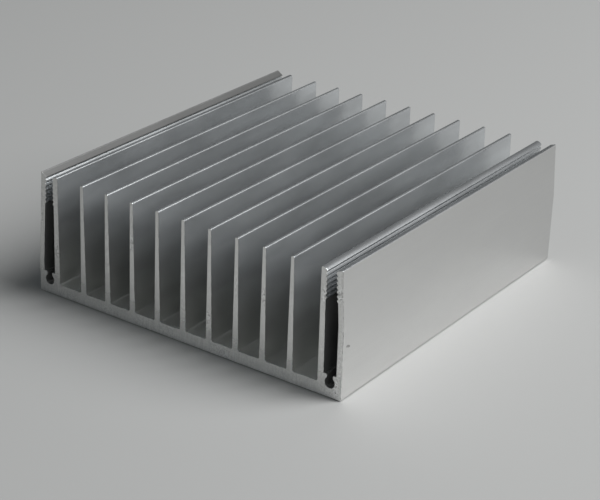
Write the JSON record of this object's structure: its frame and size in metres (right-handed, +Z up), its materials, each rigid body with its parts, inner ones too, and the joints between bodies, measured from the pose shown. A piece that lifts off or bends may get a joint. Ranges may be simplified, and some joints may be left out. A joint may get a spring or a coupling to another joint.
{
  "type": "extruded heat sink",
  "caption": "Extruded aluminium heat sink: flat base plate, tapered straight fins, and a double wall with a ribbed screw slot and round screw port along each side.",
  "frame": {"origin": "middle of the underside of the base plate", "axes": "+X across the section, +Y along the extrusion, +Z up from the underside towards the fin tips"},
  "size_m": [0.1, 0.107, 0.0354],
  "materials": {
    "aluminium": "bare mill-finish extrusion with fine die lines, ends sawn matte"
  },
  "bodies": {
    "root": {"heat_sink": "aluminium"}
  },
  "joints": []
}
